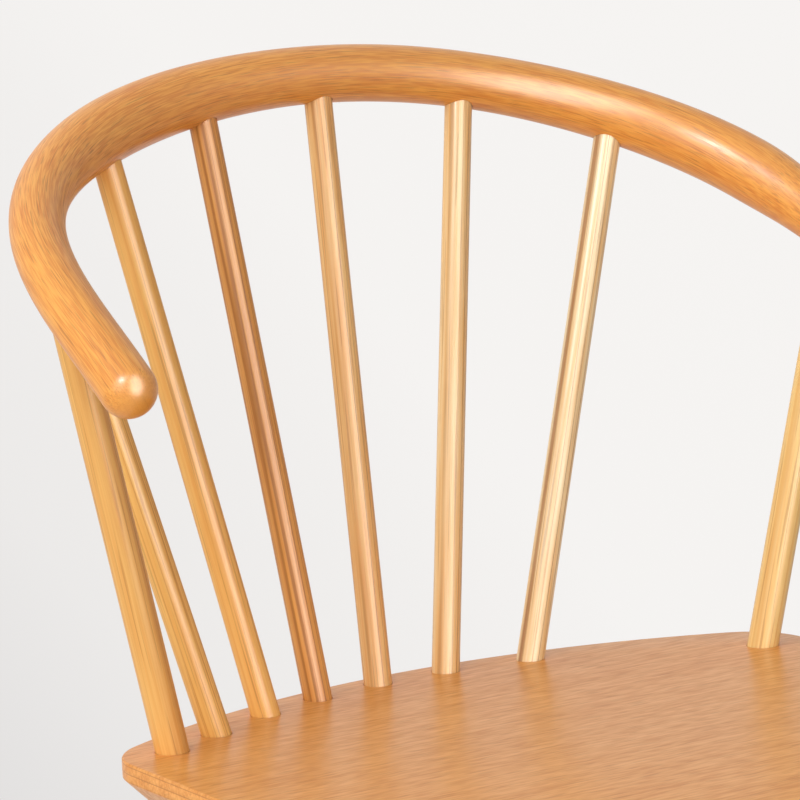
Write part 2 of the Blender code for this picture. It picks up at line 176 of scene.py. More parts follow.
class Finish(PropertyGroup):
    seat_light: colour("Seat", "Lighter wood of the seat", 236, 169, 92)
    seat_dark: colour("Seat grain", "Darker wood of the seat", 211, 137, 64)
    bow_light: colour("Bow", "Lighter wood of the bow", 245, 178, 84)
    bow_dark: colour("Bow grain", "Darker wood of the bow", 213, 129, 50)
    pore: colour("Pores", "The short dark lines in the wood", 142, 82, 36)
    streak: colour("Streaks", "The brown streaks of late wood", 176, 108, 48)
    glide: colour("Glides", "The plastic under the legs", 96, 78, 62)
    gloss: share("Roughness", "Roughness of the lacquer", 0.28)


class Studio(PropertyGroup):
    lens: real("Lens", "Focal length", 167.4, unit="CAMERA")
    place: FloatVectorProperty(
        name="Camera", description="Its place", default=(-1.2827, -1.7605, 0.9478), subtype="XYZ"
    )
    turn: degrees("Turn", "Heading, 0 looks along +Y", 33.69)
    tilt: degrees("Tilt", "How far it looks down", 8.13)
    roll: degrees("Roll", "Roll to the left", 2.56)
    pale: colour("Background", "Where the background is lightest", 246, 244, 242)
    shade: colour("Background shade", "Where it is darkest", 227, 225, 224)
    floor: colour("Floor", "The floor round the chair", 212, 210, 208)
    warmth: colour("Fill colour", "Colour of the light from all round", 255, 226, 200)
    fill: share("Fill light", "Light from all round", 0.06)
    top_fill: share("Top fill light", "Light from straight above", 0.30)
    left_fill: share("Left fill light", "Broad light from the left front", 0.86)
    back_fill: share("Back fill light", "Light from behind the chair", 0.75)
    key_light: watts("Key light", "Lamp at the left", 34)
    front_light: watts("Front light", "Lamp in front", 13.5)
    sheen_card: watts("Sheen card", "Tall card in front, in the lacquer only", 160)
    window_card: watts("Window card", "Small card on the left, in the lacquer only", 80)


# Feet as shares of the arc from the middle to an arm post, heads as shares of half the bow
SPINDLE_FEET = (-0.782, -0.548, -0.336, -0.118, 0.106, 0.367)
SPINDLE_HEADS = (-0.622, -0.406, -0.203, 0.010, 0.259, 0.500)
POST_HEADS = (-0.824, 0.881)
# How far along each half the bow starts to swell, is thickest, and has thinned to the arm
LEFT_SWELL = (0.0, 0.36, 0.70)
RIGHT_SWELL = (0.25, 0.72, 0.90)


# Mesh making

# Steps round a rounded edge, and round a small bend or an eased end
ROUND_STEPS, BEND_STEPS = 6, 4


def smooth_step(part):
    return part * part * (3 - 2 * part)


def quarter(radius, steps):
    """Round a quarter circle, the distance that shrinks to 0 and the one that grows from 0."""
    for step in range(steps + 1):
        angle = radians(90) * step / steps
        yield radius * (1 - sin(angle)), radius * (1 - cos(angle))


def unit(rows):
    return rows / np.linalg.norm(rows, axis=1)[:, None]


def runs_along(points):
    """How far along a line each of its points is."""
    return np.concatenate([[0], np.cumsum(np.linalg.norm(np.diff(points, axis=0), axis=1))])


def sideways(ways):
    """Unit directions across a line and up from it."""
    across = unit(np.cross(ways, [0, 0, 1]))
    return across, np.cross(across, ways)


def new_mesh(name, bm):
    mesh = bpy.data.meshes.new(name)
    bm.to_mesh(mesh)
    bm.free()
    return mesh


def skin(name, rings, first_tip, last_tip):
    """A closed mesh through rings of points, with a fan of triangles at each end."""
    count, sides = rings.shape[:2]
    points = np.concatenate([rings.reshape(-1, 3), [first_tip, last_tip]])
    faces = []
    for low in range(0, (count - 1) * sides, sides):
        for side in range(sides):
            after = (side + 1) % sides
            faces.append((low + side, low + after, low + sides + after, low + sides + side))
    top = (count - 1) * sides
    for side in range(sides):
        after = (side + 1) % sides
        faces.append((side, count * sides, after))
        faces.append((top + side, top + after, count * sides + 1))
    mesh = bpy.data.meshes.new(name)
    mesh.from_pydata(points, [], faces)
    return outward(mesh)


def outward(mesh, floor=None):
    """Turns a mesh's faces outwards, after cutting it off below a floor and closing it there."""
    bm = bmesh.new()
    bm.from_mesh(mesh)
    if floor is not None:
        everything = bm.verts[:] + bm.edges[:] + bm.faces[:]
        cut = bmesh.ops.bisect_plane(
            bm, geom=everything, plane_co=(0, 0, floor), plane_no=(0, 0, 1), clear_inner=True
        )
        rim = [item for item in cut["geom_cut"] if isinstance(item, bmesh.types.BMEdge)]
        bmesh.ops.contextual_create(bm, geom=rim)
    bmesh.ops.recalc_face_normals(bm, faces=bm.faces[:])
    bm.to_mesh(mesh)
    bm.free()
    return mesh


def along(start, end):
    """The matrix that stands a piece, made along +Z, on start and aims it at end."""
    turn = (end - start).to_track_quat("Z", "Y").to_matrix().to_4x4()
    return Matrix.Translation(start) @ turn


def placed(points, matrix):
    """An array of points moved by a matrix."""
    matrix = np.array(matrix)
    return points @ matrix[:3, :3].T + matrix[:3, 3]


def turned(name, profile, placing, sides):
    """A turned piece from (radius, height) pairs; the first and last heights close it on its axis."""
    angles = np.arange(sides) * (2 * pi / sides)
    circle = np.stack([np.cos(angles), np.sin(angles), np.zeros(sides)], 1)
    rings = np.array([circle * radius + [0, 0, height] for radius, height in profile])
    tips = np.array([[0, 0, profile[0][1]], [0, 0, profile[-1][1]]])
    rings = placed(rings.reshape(-1, 3), placing).reshape(rings.shape)
    return new_piece(name, skin(name, rings, *placed(tips, placing)))


def new_piece(name, mesh):
    piece = bpy.data.objects.new(name, mesh)
    bpy.context.scene.collection.objects.link(piece)
    return piece


def drill(piece, holes, sides):
    """Cuts round holes, each (start, end, radius), in a piece."""
    bm = bmesh.new()
    for start, end, radius in holes:
        size = {"radius1": radius, "radius2": radius, "depth": (end - start).length}
        placing = along((start + end) / 2, end)
        bmesh.ops.create_cone(bm, cap_ends=True, segments=sides, matrix=placing, **size)
    cutter = new_piece("drill", new_mesh("drill", bm))
    boolean = piece.modifiers.new("Drill", "BOOLEAN")
    boolean.operation = "DIFFERENCE"
    boolean.solver = "EXACT"
    boolean.object = cutter
    graph = bpy.context.evaluated_depsgraph_get()
    cut_mesh = bpy.data.meshes.new_from_object(piece.evaluated_get(graph))
    if len(cut_mesh.vertices) <= len(piece.data.vertices):
        raise RuntimeError(f"no socket was cut in {piece.name}")
    piece.modifiers.clear()
    piece.data = cut_mesh
    bpy.data.objects.remove(cutter, do_unlink=True)


def finish_piece(piece, node, material, grain):
    """Shades a piece, gives it its grain and ends, 1 on end grain, and puts it in its solid's place."""
    mesh = piece.data
    mesh.shade_smooth()
    mesh.set_sharp_from_angle(angle=SHARP_ANGLE)
    points = np.empty(len(mesh.vertices) * 3, np.float32)
    mesh.vertices.foreach_get("co", points)
    found, end = grain(points.reshape(-1, 3))
    layers = ("grain", "FLOAT_VECTOR", "vector", found), ("end", "FLOAT", "value", end)
    for name, kind, field, values in layers:
        layer = mesh.attributes.new(name, kind, "POINT")
        layer.data.foreach_set(field, values.astype(np.float32).ravel())
    mesh.materials.clear()
    mesh.materials.append(material)
    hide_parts(node)
    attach(piece, BODY)


def straight_grain(placing, start, step=(0, 0, 0), number=0):
    """Grain along a piece's own Z axis. Start and number pick its place in the wood."""
    back = placing.inverted()
    shift = np.array(start) + np.array(step) * number
    return lambda points: (placed(points, back) + shift, np.zeros(len(points)))


# Shader making

# Oak unless a piece says otherwise: where its rings have their middle, how wide and strong they are and
# how much they wave, how fine and how short its lines are, and how strongly each kind of mark shows
FIGURE = {
    "pith": (0.05, 0.02, 0), "ring_width": 0.004, "rings": 0.4, "wave": 0.3, "fineness": 1, "run": 1,
    "cloud": 0.25, "strand": 0.25, "fibre": 0.5, "pores": 0.5, "specular": 0.3,
}
SEAT_FIGURE = {
    "pith": (-60, 0, 0), "ring_width": 0.0046, "rings": 0.8, "wave": 0.1, "fineness": 0.62, "run": 8,
    "cloud": 0.15, "strand": 0.35, "pores": 0.2, "specular": 0.2,
}
BOW_FIGURE = {
    "pith": (0.08, 0.03, 0), "ring_width": 0.0055, "rings": 0.15, "wave": 0.9, "fineness": 1.8,
    "run": 2.4, "cloud": 0.15, "strand": 0.2, "fibre": 0.52, "pores": 0.4, "specular": 0.5,
}
ROD_FIGURE = {"pores": 0.35, "specular": 0.25}
LEG_FIGURE = {"pith": (0.15, 0.26, 0), "ring_width": 0.0050, "rings": 0.45, "wave": 0.7}
# A mark's stretch along the grain, the less the longer, its scale and detail, and where it starts and
# is full; then the waving of the rings, without those last two
FIBRE = (0.02, 640, 1, 0.34, 0.66)
STRAND = (0.01, 300, 1, 0.32, 0.68)
CLOUD = (0.14, 60, 2, 0.3, 0.7)
PORE = (0.012, 800, 1, 0.59, 0.68)
WAVE = (0.12, 26, 2)
# Where in a ring the late wood darkens slowly, where it darkens fast, and where it stops
SLOW, FAST, STOP = (0.25, 0.95), (0.80, 0.88), (0.96, 1.0)
SLOW_PART = 0.25
FAINTEST_RING = 0.2
# What end grain loses of the marks, and the tone it has instead
END_LOSS, END_TONE = 0.8, 0.4
# How much rougher than the lacquer the dark wood and the pores are
DARK_ROUGHNESS, PORE_ROUGHNESS = 0.08, 0.12
# The strength and the distance of the bumps
WOOD_BUMP, PLASTIC_BUMP = (0.3, 0.0002), (0.2, 0.0001)
FIBRE_HEIGHT = 0.3


def operation(name, swapped=False):
    """The method behind an arithmetic sign."""
    if swapped:
        return lambda self, other: self.math(name, other, self)
    return lambda self, other: self.math(name, self, other)


class Signal:
    """A shader socket that takes part in arithmetic. Each operation adds a Math node."""

    def __init__(self, graph, socket):
        self.graph = graph
        self.socket = socket

    def math(self, kind, *values):
        return self.graph.add("Math", {"operation": kind}, dict(enumerate(values)))

    __add__, __radd__ = operation("ADD"), operation("ADD", True)
    __sub__, __rsub__ = operation("SUBTRACT"), operation("SUBTRACT", True)
    __mul__, __rmul__ = operation("MULTIPLY"), operation("MULTIPLY", True)
    __truediv__ = operation("DIVIDE")


class Shading:
    """The node tree of one material or world."""

    def __init__(self, tree):
        self.tree = tree
        tree.nodes.clear()

    def add(self, kind, settings=None, sockets=None, output=0):
        """Adds a shader node: its settings first, then values or links for its sockets."""
        node = self.tree.nodes.new("ShaderNode" + kind)
        for name, value in (settings or {}).items():
            setattr(node, name, value)
        for name, value in (sockets or {}).items():
            if isinstance(value, Signal):
                self.tree.links.new(value.socket, node.inputs[name])
            else:
                node.inputs[name].default_value = value
        return Signal(self, node.outputs[output]) if len(node.outputs) else node

    def attribute(self, name, output):
        return self.add("Attribute", {"attribute_name": name}, {}, output)

    def vector(self, kind, *values, output="Value"):
        sockets = dict(enumerate(values))
        return self.add("VectorMath", {"operation": kind}, sockets, output)

    def drawn_out(self, grain, factor):
        """Coordinates that draw a pattern out along the grain, the smaller the factor the more."""
        return self.vector("MULTIPLY", grain, (1, 1, factor), output="Vector")

    def noise(self, vector, scale, detail):
        sockets = {"Vector": vector, "Scale": scale, "Detail": detail}
        return self.add("TexNoise", {}, sockets)

    def marks(self, grain, kind, fineness=1, run=1):
        """One kind of mark in the wood, from 0 to 1."""
        factor, scale, detail, low, high = kind
        noise = self.noise(self.drawn_out(grain, factor * run), scale * fineness, detail)
        return self.step(noise, low, high)

    def step(self, value, low, high):
        """0 below low, 1 above high, eased between."""
        settings = {"interpolation_type": "SMOOTHSTEP"}
        sockets = {"Value": value, "From Min": low, "From Max": high}
        return self.add("MapRange", settings, sockets)

    def mix(self, factor, first, second):
        sockets = {"Factor": factor, 6: first, 7: second}
        return self.add("Mix", {"data_type": "RGBA"}, sockets, 2)

    def mix_shaders(self, factor, first, second):
        return self.add("MixShader", {}, {0: factor, 1: first, 2: second})

    def bump(self, strength, distance, height):
        sockets = {"Strength": strength, "Distance": distance, "Height": height}
        return self.add("Bump", {}, sockets, "Normal")

    def show(self, surface):
        self.add("OutputMaterial", {}, {"Surface": surface})


def new_material(name):
    made = bpy.data.materials.new(name)
    made.use_nodes = True
    return made, Shading(made.node_tree)


def linear(tint):
    """A shown colour as the linear RGBA that a shader takes."""
    eased = [c / 12.92 if c <= 0.04045 else ((c + 0.055) / 1.055) ** 2.4 for c in tint]
    return (*eased, 1)


def blend(first, second, part):
    return tuple(a + (b - a) * part for a, b in zip(first, second))


def oak(name, finish, light, dark, streak, figure):
    """Lacquered oak. The grain attribute runs along its Z; the figure is what differs from FIGURE."""
    made, nodes = new_material(name)
    look = {**FIGURE, **figure}
    grain = nodes.attribute("grain", "Vector")
    end = nodes.attribute("end", "Fac")

    factor, scale, detail = WAVE
    bend = nodes.noise(nodes.drawn_out(grain, factor), scale, detail) - 0.5
    from_pith = nodes.vector("DISTANCE", nodes.drawn_out(grain, 0), look["pith"])
    ring = from_pith / look["ring_width"] + bend * look["wave"]
    place = ring.math("FRACT", ring)
    sockets = {"W": ring.math("FLOOR", ring)}
    chance = nodes.add("TexWhiteNoise", {"noise_dimensions": "1D"}, sockets)
    late = nodes.step(place, *SLOW) * SLOW_PART + nodes.step(place, *FAST) * (1 - SLOW_PART)
    late = late * (1 - nodes.step(place, *STOP))
    band = late * (chance * (1 - FAINTEST_RING) + FAINTEST_RING) * look["rings"]

    scales = look["fineness"], look["run"]
    fibre = nodes.marks(grain, FIBRE, *scales)
    strand = nodes.marks(grain, STRAND, *scales)
    cloud = nodes.marks(grain, CLOUD)
    kept = 1 - END_LOSS * end
    tone = cloud * look["cloud"] + strand * look["strand"] + fibre * look["fibre"]
    tone = tone * kept + END_TONE * end
    pores = nodes.marks(grain, PORE, *scales) * kept * look["pores"]

    body = nodes.mix(tone, linear(dark), linear(light))
    streaked = nodes.mix(band, body, linear(streak))
    sockets = {
        "Base Color": nodes.mix(pores, streaked, linear(finish.pore)),
        "Roughness": finish.gloss + DARK_ROUGHNESS * (1 - tone) + pores * PORE_ROUGHNESS,
        "Normal": nodes.bump(*WOOD_BUMP, fibre * FIBRE_HEIGHT - pores),
        "Specular IOR Level": look["specular"],
    }
    nodes.show(nodes.add("BsdfPrincipled", {}, sockets))
    return made


def nylon(name, tint):
    """Moulded plastic with a fine mottle."""
    made, nodes = new_material(name)
    mottle = nodes.noise(nodes.attribute("grain", "Vector"), 900, 3)
    dark, light = blend(tint, (0, 0, 0), 0.2), blend(tint, (1, 1, 1), 0.1)
    sockets = {
        "Base Color": nodes.mix(mottle, linear(dark), linear(light)),
        "Roughness": 0.45 + 0.15 * mottle,
        "Normal": nodes.bump(*PLASTIC_BUMP, mottle),
    }
    nodes.show(nodes.add("BsdfPrincipled", {}, sockets))
    return made


# Seat


def seat_end(seat, sign, steps):
    """Half of the rear (1) or front (-1) edge, from the middle to the right, and its corner."""
    back, front = seat.front + seat.depth, seat.front
    half, front_half = (seat.front_width - seat.taper) / 2, seat.front_width / 2
    start = Vector((half, back - seat.rear_crown))
    down = (Vector((front_half, front + seat.front_crown)) - start).normalized()
    y, width, crown, corner = {
        1: (back, half, seat.rear_crown, seat.rear_corner),
        -1: (front, front_half, seat.front_crown, seat.front_corner),
    }[sign]
    radius = (width**2 + crown**2) / (2 * crown)
    hub = Vector((0, y - sign * radius))
    inward = Vector((down.y, -down.x))
    offset = start + inward * corner - hub
    middle = -offset.dot(down)
    reach = sqrt(middle**2 - offset.length_squared + (radius - corner) ** 2)
    centre = start + inward * corner + down * (middle - sign * reach)
    first, last = (atan2(way.y, way.x) for way in (centre - hub, -inward))
    arc = []
    for step in range(steps + 1):
        angle = first + (last - first) * step / steps
        arc.append(centre + Vector((cos(angle), sin(angle))) * corner)
    full = asin(arc[0].x / radius)
    edge = [Vector((0, y))]
    for step in range(1, steps):
        angle = full * step / steps
        edge.append(hub + Vector((sin(angle), sign * cos(angle))) * radius)
    return edge + arc


def seat_outline(seat, steps):
    """The seat's outline from above: bowed rear and front edges, straight sides, round corners."""
    right = seat_end(seat, 1, steps) + seat_end(seat, -1, steps)[::-1]
    left = [Vector((-point.x, point.y)) for point in reversed(right[1:-1])]
    return np.array(right + left)


def inset(outline, distance):
    """A smooth outline moved inwards."""
    run = unit(np.roll(outline, -1, 0) - np.roll(outline, 1, 0))
    return outline + np.stack([run[:, 1], -run[:, 0]], 1) * distance


def seat_edge(seat):
    """(inset, height) from the top face round the rim and the chamfer to the underside."""
    top, low = seat.height, seat.height - seat.thickness
    edge = [(back, top - drop) for back, drop in quarter(seat.top_round, ROUND_STEPS)]
    slope, turn = radians(45), seat.low_round
    reach = turn * tan(slope / 2)
    bends = (0, turn, top - seat.rim + reach), (1, seat.thickness - seat.rim + reach, low + turn)
    for first, back, height in bends:
        for step in range(BEND_STEPS + 1):
            angle = slope * (first + step / BEND_STEPS)
            edge.append((back - turn * cos(angle), height - turn * sin(angle)))
    return edge


def seat_mesh(seat, steps):
    """The board, with a flat face above and below its rounded edge."""
    outline = seat_outline(seat, steps)
    bm = bmesh.new()
    rings = []
    for distance, height in seat_edge(seat):
        rings.append([bm.verts.new((x, y, height)) for x, y in inset(outline, distance)])
    for upper, lower in zip(rings, rings[1:]):
        for index in range(len(upper)):
            after = (index + 1) % len(upper)
            bm.faces.new((upper[index], upper[after], lower[after], lower[index]))
    bm.faces.new(rings[0])
    bm.faces.new(reversed(rings[-1]))
    bmesh.ops.recalc_face_normals(bm, faces=bm.faces[:])
    return new_mesh("oak_seat", bm)


# Bow

# Steps round the plan's quarter and round a ball end, and passes that even out small corners
PLAN_STEPS, BALL_STEPS, EVEN_PASSES = 120, 16, 4
# Stations along each half that the grain is measured from, and how many points are measured at once
GRAIN_STATIONS, BATCH = 300, 2000


def bow_plan(seat, bow):
    """The right half of the bow from above: a superellipse quarter, then the straight arm."""
    back = seat.front + seat.depth + bow.overhang - bow.back_radius
    start = back - bow.bend_depth
    half = seat.front_width / 2 + bow.side_overhang
    angles = np.radians(np.arange(PLAN_STEPS) * 90 / PLAN_STEPS)
    x = half * np.sin(angles) ** (2 / bow.power)
    y = start + bow.bend_depth * np.cos(angles) ** (2 / bow.power)
    ends = [[half, start], [half, start - bow.arm_length]]
    return np.concatenate([np.stack([x, y], 1), ends])


def bow_points(shares, seat, bow):
    """Centre line points at shares of its half length, from -1 at the left end to 1 at the right."""
    plan = bow_plan(seat, bow)
    runs = runs_along(plan)
    want = np.abs(shares) * runs[-1]
    x = np.interp(want, runs, plan[:, 0]) * np.sign(shares)
    y = np.interp(want, runs, plan[:, 1])
    z = seat.height + bow.rise - bow.arm_drop * np.square(shares)
    return np.stack([x, y, z], 1)


def bow_point(place, seat, bow):
    return Vector(bow_points(np.array([place]), seat, bow)[0])


def bow_radius(place, bow):
    """The bow swells from the back to the shoulder and thins again to the arm."""
    first, shoulder, last = LEFT_SWELL if place < 0 else RIGHT_SWELL
    thickest = bow.left_shoulder if place < 0 else bow.right_shoulder
    if abs(place) < shoulder:
        part = max((abs(place) - first) / (shoulder - first), 0)
        return bow.back_radius + (thickest - bow.back_radius) * smooth_step(part)
    part = min((abs(place) - shoulder) / (last - shoulder), 1)
    return thickest + (bow.arm_radius - thickest) * smooth_step(part)


def bow_line(seat, bow, stations):
    """Centres, radii and unit directions along the bow, its ball ends left out."""
    shares = np.arange(-stations, stations + 1) / stations
    centres = bow_points(shares, seat, bow)
    for _ in range(EVEN_PASSES):
        centres[1:-1] = centres[1:-1] * 0.5 + (centres[:-2] + centres[2:]) * 0.25
    radii = np.array([bow_radius(place, bow) for place in shares])
    return centres, radii, unit(np.gradient(centres, axis=0))


def bow_mesh(seat, bow, fine):
    """Rings along the centre line, then a ball at each end."""
    centres, radii, ways = bow_line(seat, bow, fine.bow_stations)
    steps = np.radians(np.linspace(90, 0, BALL_STEPS + 1)[1:-1])
    ball = bow.arm_radius
    low = centres[0] - ways[0] * (ball * np.sin(steps))[:, None]
    high = centres[-1] + ways[-1] * (ball * np.sin(steps[::-1]))[:, None]
    middles = np.concatenate([low, centres, high])
    sizes = np.concatenate([ball * np.cos(steps), radii, ball * np.cos(steps[::-1])])
    turns = np.concatenate([[ways[0]] * len(steps), ways, [ways[-1]] * len(steps)])
    across, upward = sideways(turns)
    angles = np.arange(fine.bow_sides)[:, None] * (2 * pi / fine.bow_sides)
    circle = across[:, None] * np.cos(angles) + upward[:, None] * np.sin(angles)
    rings = middles[:, None] + circle * sizes[:, None, None]
    return skin("oak_bow", rings, centres[0] - ways[0] * ball, centres[-1] + ways[-1] * ball)


def bow_grain(seat, bow, shift):
    """Grain that follows the bend: across and up from the nearest point of its line, then along."""
    centres, _, ways = bow_line(seat, bow, GRAIN_STATIONS)
    runs = runs_along(centres)
    across, upward = sideways(ways)

    def grain(points):
        found = []
        for some in np.array_split(points, max(1, len(points) // BATCH)):
            near = np.square(some[:, None] - centres).sum(2).argmin(1)
            reach = some - centres[near]
            parts = [(reach * axis[near]).sum(1) for axis in (across, upward, ways)]
            found.append(np.stack([parts[0], parts[1], parts[2] + runs[near]], 1))
        found = np.concatenate(found)
        past_end = np.maximum(-found[:, 2], found[:, 2] - runs[-1]) / bow.arm_radius
        return found + np.array(shift), np.clip(past_end, 0, 1)

    return grain


# Posts and spindles


def foot_point(place, seat, rods, set_back=0):
    """Where a rod's centre line meets the seat, as a share of the arc out to an arm post."""
    post_x = (seat.front_width - seat.taper) / 2 - rods.post_inset
    angle = asin(post_x / rods.row_radius) * place
    back = seat.front + seat.depth - rods.row_inset
    y = back - rods.row_radius * (1 - cos(angle)) + set_back
    return Vector((rods.row_radius * sin(angle), y, seat.height))


def uprights(scene):
    """(name, foot, head, radius) of each post and spindle, where they cross the seat and the bow."""
    seat, bow, rods = scene.chair_seat, scene.chair_bow, scene.chair_spindles
    set_backs = rods.left_set_back, rods.right_set_back
    for side, word, set_back, head in zip((-1, 1), ("left", "right"), set_backs, POST_HEADS):
        ends = foot_point(side, seat, rods, set_back), bow_point(head, seat, bow)
        yield f"arm_post_{word}", *ends, rods.post_radius
    for number, (foot, head) in enumerate(zip(SPINDLE_FEET, SPINDLE_HEADS), start=1):
        ends = foot_point(foot, seat, rods), bow_point(head, seat, bow)
        yield f"back_spindle_{number}", *ends, rods.spindle_radius


def rod_ends(foot, head, rods):
    """A rod's two ends, inside the seat and inside the bow."""
    way = (head - foot).normalized()
    return foot - way * (rods.socket_depth / way.z), head + way * rods.past_centre


def upright_holes(scene):
    """The sockets that the posts and spindles need."""
    fine = scene.chair_fineness
    holes = []
    for _, foot, head, radius in uprights(scene):
        bottom, top = rod_ends(foot, head, scene.chair_spindles)
        way = (top - bottom).normalized() * fine.end_gap
        holes.append((bottom - way, top + way, radius + fine.clearance))
    return holes


# How much of a hidden end is eased, as a share of its radius
ROD_EASE, NECK_EASE = 0.15, 0.1
ROD_STEPS = 12


def rod_profile(radius, size):
    """A round rod whose two hidden ends are eased."""
    foot = [(radius - back, rise) for back, rise in quarter(radius * ROD_EASE, BEND_STEPS)]
    middle = [(radius, size * part / ROD_STEPS) for part in range(1, ROD_STEPS)]
    return foot + middle + [(width, size - rise) for width, rise in reversed(foot)]


# Legs, stretchers and glides

# Steps from a leg's neck to its belly, from there to its foot, and along each half of a stretcher
NECK_STEPS, FOOT_STEPS, STRETCHER_STEPS = 24, 32, 20
# How far the stretchers' ends go past the centre lines that they join, and how long their tenons are
STRETCHER_PAST, SIDE_TENON, CROSS_TENON = 0.003, 0.022, 0.014
# How far under the seat the leg holes start, and how far under the floor a leg is before it is cut
HOLE_START, LEG_SPARE = 0.01, 0.02
# The pin on each glide, the rounding of its lower edge, and how much smaller its upper edge is
PIN_RADIUS, PIN_HEIGHT, GLIDE_ROUND, GLIDE_TAPER = 0.0015, 0.012, 0.001, 0.0003


def leg_line(side, front, scene):
    """A leg's centre line: its socket on the seat's underside, and its foot on the floor."""
    seat, legs = scene.chair_seat, scene.chair_legs
    if front:
        x = seat.front_width / 2 - legs.front_side_inset
        y, out, back = seat.front + legs.front_inset, legs.front_out, -legs.front_forward
    else:
        x = (seat.front_width - seat.taper) / 2 - legs.rear_side_inset
        y, out, back = seat.front + seat.depth - legs.rear_inset, legs.rear_out, legs.rear_back
    socket = Vector((side * x, y, seat.height - seat.thickness))
    return socket, Vector((socket.x + side * out, socket.y + back, 0))


def swell(start, end, steps):
    """(radius, height) pairs that ease from one pair to another, the first left out."""
    for step in range(1, steps + 1):
        part = step / steps
        radius = start[0] + (end[0] - start[0]) * smooth_step(part)
        yield radius, start[1] + (end[1] - start[1]) * part


def leg_profile(size, legs):
    belly = (legs.belly_radius, size * (1 - legs.belly_share))
    neck = (legs.top_radius, size - legs.neck_length)
    foot = (legs.foot_radius, 0)
    profile = [(neck[0] * (1 - NECK_EASE), size), (neck[0], size - neck[0] * NECK_EASE), neck]
    return profile + list(swell(neck, belly, NECK_STEPS)) + list(swell(belly, foot, FOOT_STEPS))


def leg_centre(side, front, height, scene):
    """Where a leg's centre line is at a height."""
    socket, floor = leg_line(side, front, scene)
    return floor.lerp(socket, height / socket.z)


def stretcher_ends(name, scene):
    """A stretcher's two ends, a little past the centre lines that it joins."""
    high = scene.chair_legs.stretcher_height
    left, right = [
        [leg_centre(side, front, high, scene) for front in (True, False)] for side in (-1, 1)
    ]
    cross = [(front + rear) / 2 for front, rear in (left, right)]
    start, end = dict(zip(STRETCHERS, (left, right, cross)))[name]
    way = (end - start).normalized() * STRETCHER_PAST
    return start - way, end + way


def stretcher_hole(name, scene):
    fine, legs = scene.chair_fineness, scene.chair_legs
    low, high = stretcher_ends(name, scene)
    gap = (high - low).normalized() * fine.end_gap
    radius = legs.cross_tenon if name == "cross_stretcher" else legs.side_tenon
    return low - gap, high + gap, radius + fine.clearance


LEGS = {
    "front_leg_left": (-1, True),
    "front_leg_right": (1, True),
    "rear_leg_left": (-1, False),
    "rear_leg_right": (1, False),
}
STRETCHERS = ("side_stretcher_left", "side_stretcher_right", "cross_stretcher")

# Each rod's light and dark wood, its streaks, how strong and wide its rings are, and its pith
ROD_WOODS = {
    "arm_post_left": ((232, 182, 106), (218, 156, 82), (182, 120, 60), 0.3, 0.0040, (0.05, 0.02, 0)),
    "arm_post_right": ((242, 212, 144), (232, 186, 112), (196, 138, 72), 0.4, 0.0034, (0.04, -0.03, 0)),
    "back_spindle_1": ((244, 198, 116), (232, 174, 92), (182, 114, 52), 0.5, 0.0036, (0.04, 0.03, 0)),
    "back_spindle_2": ((244, 194, 112), (234, 170, 88), (188, 122, 60), 0.4, 0.0042, (0.03, -0.05, 0)),
    "back_spindle_3": ((228, 166, 90), (206, 138, 68), (126, 70, 28), 1.0, 0.0027, (-0.05, 0.01, 0)),
    "back_spindle_4": ((242, 200, 136), (228, 166, 96), (132, 76, 30), 1.0, 0.0031, (0.02, 0.05, 0)),
    "back_spindle_5": ((246, 215, 162), (236, 183, 112), (140, 82, 34), 1.0, 0.0034, (0.05, 0.02, 0)),
    "back_spindle_6": ((252, 236, 194), (242, 202, 142), (156, 98, 46), 0.95, 0.0038, (0.04, -0.03, 0)),
}
# Where a piece lies in the wood, and for rods, legs and stretchers how far on the next one lies
SEAT_PLACE = (0.3067, 0, 0.9)
BOW_PLACE = (0.2, 0.1, 0.4)
ROD_PLACE = (0, 0, 0), (0.013, 0.021, 0.77)
LEG_PLACE = (0.2, 0.3, 0), (0.05, 0, 1.3)
STRETCHER_PLACE = (0.5, 0.6, 0), (0.07, 0, 2.1)

# Each lamp's name, place and size, and whether only the lacquer shows it
LAMPS = (
    ("key_light", (-2.65, -1.00, 1.60), (2.6, 1.8), False),
    ("front_light", (-0.30, -2.80, 0.85), (1.8, 1.2), False),
    ("sheen_card", (-0.10, -1.95, 1.35), (1.9, 3.2), True),
    ("window_card", (-2.00, -0.95, 2.60), (0.6, 0.5), True),
)
LAMP_TARGET = Vector((0, 0, 0.6))
# Each broad light's name, its direction, and how near to it the light starts and is full
LOBES = (
    ("top_fill", (0, 0, 1), 0, 1),
    ("left_fill", (-0.85, -0.46, 0.25), 0.2, 0.95),
    ("back_fill", (-0.25, 0.9, 0.35), 0.1, 0.9),
)
# The way in which the background gets paler, how far it does so each way, and (place, paleness) there
LEAN, LEAN_REACH = (0.713, -0.374, 0.594), 0.15
LEAN_STOPS = ((0, 0), (0.17, 0.47), (0.4, 0.74), (0.53, 0.95), (1, 1))
# The floor's radius, where it starts to fade and is gone, and how much of its look is its own glow
FLOOR_RADIUS, FLOOR_FADE, FLOOR_GLOW = 2.4, (0.75, 1.5), 0.6


# Operators


